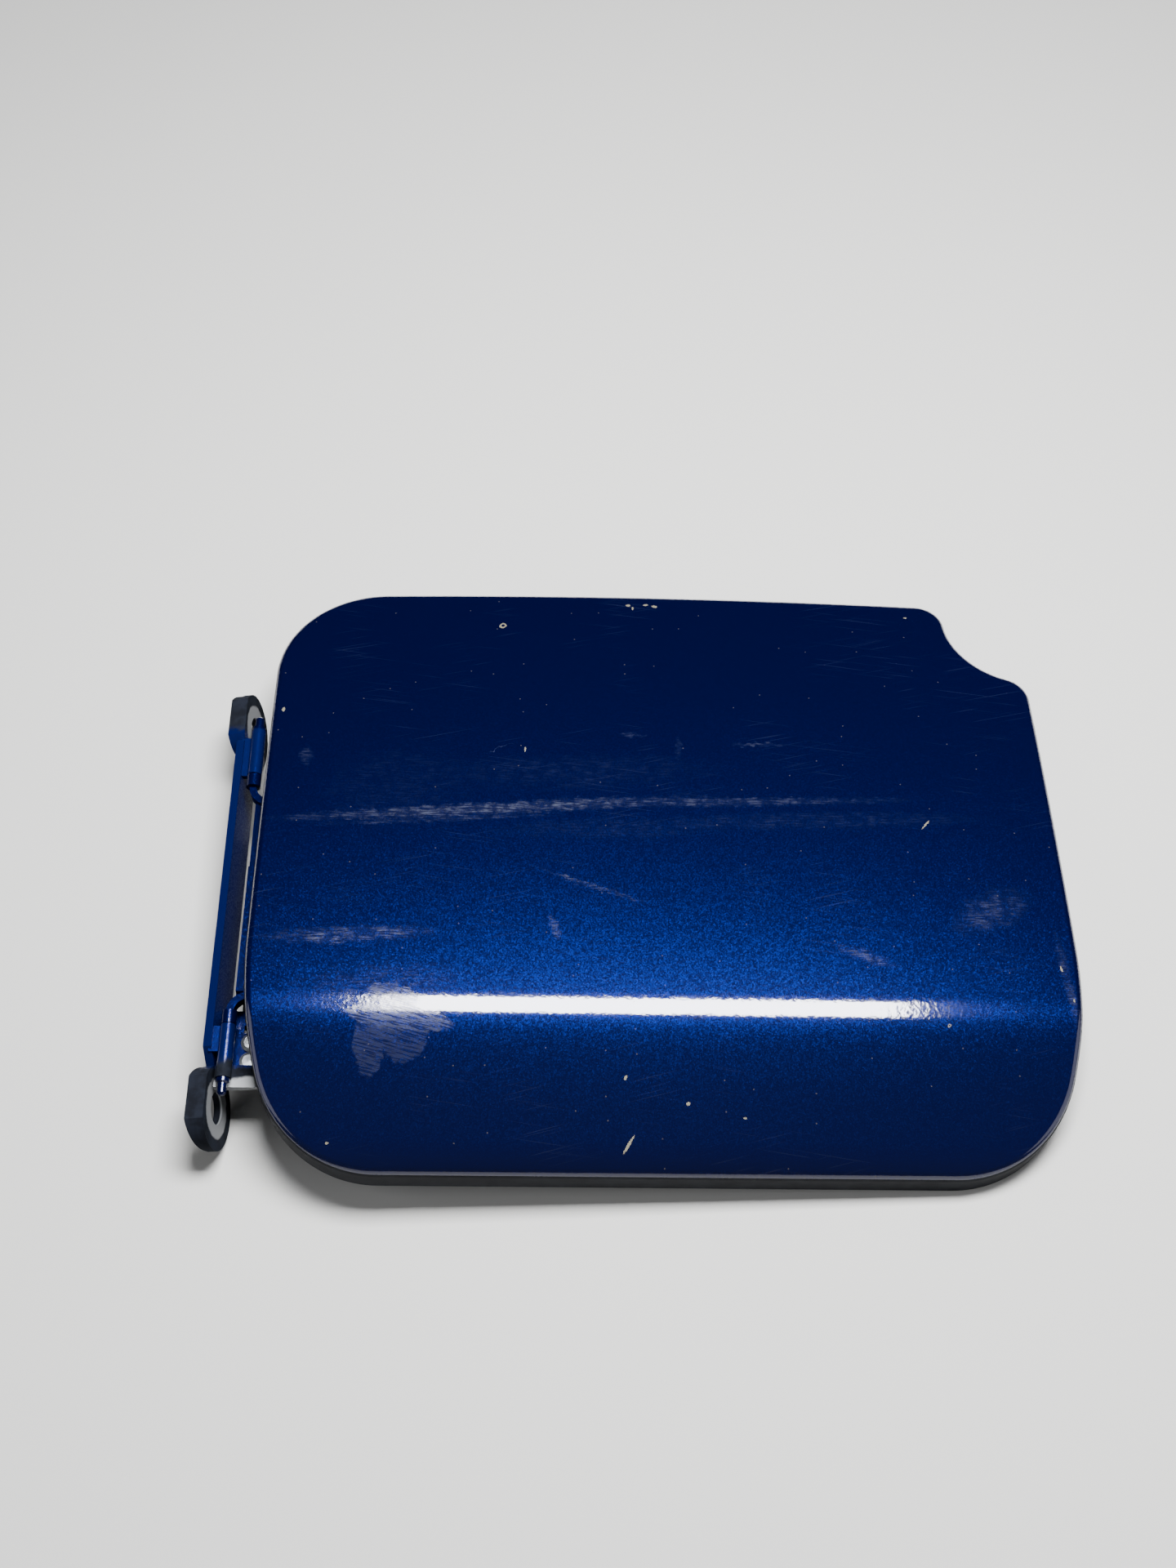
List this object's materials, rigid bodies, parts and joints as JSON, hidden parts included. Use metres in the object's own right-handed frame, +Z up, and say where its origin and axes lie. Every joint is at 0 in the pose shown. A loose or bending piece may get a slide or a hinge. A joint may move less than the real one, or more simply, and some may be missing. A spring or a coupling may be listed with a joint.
{
  "type": "fuel filler flap",
  "caption": "Car fuel filler flap: a creased, painted sheet-steel door with a finger notch and a pressed-steel side hinge that screws to the body.",
  "frame": {"origin": "centre of the front screw hole of the hinge bracket", "axes": "X from the hinge across the flap to the finger notch, Y from the front rim to the far rim, Z up, out of the painted face, with the part lying on a bench on its rims and screw eyes"},
  "size_m": [0.1909, 0.149, 0.0263],
  "materials": {
    "body_paint": "glossy metallic blue paint, scuffed",
    "inner_paint": "thin satin blue paint over grey primer",
    "arm_paint": "glossy metallic blue paint",
    "bracket_steel": "grey primer and thin blue overspray",
    "zinc_steel": "dull zinc plate",
    "black_rubber": "matte",
    "mastic": "matte"
  },
  "bodies": {
    "bracket": {"hinge_bracket": "bracket_steel", "hinge_pin_1": "zinc_steel", "hinge_pin_2": "zinc_steel", "leaf_spring": "zinc_steel", "spring_rivet_1": "zinc_steel", "spring_rivet_2": "zinc_steel"},
    "panel": {"outer_panel": "body_paint", "inner_panel": "inner_paint", "hinge_arm": "arm_paint", "latch_striker": "zinc_steel", "arm_rivet_1": "zinc_steel", "arm_rivet_2": "zinc_steel", "arm_rivet_3": "zinc_steel", "arm_rivet_4": "zinc_steel", "striker_rivet_1": "zinc_steel", "striker_rivet_2": "zinc_steel", "buffer_1": "black_rubber", "buffer_2": "black_rubber", "buffer_3": "black_rubber", "buffer_4": "black_rubber", "antidrum_pad_1": "mastic", "antidrum_pad_2": "mastic", "antidrum_pad_3": "mastic"}
  },
  "joints": [
    {"name": "flap_swing", "type": "hinge", "parent": "bracket", "child": "panel", "pos_m": [0.00314, 0.0473, 0.00676], "axis": [0, -1, 0], "range_deg": [0, 95]}
  ]
}
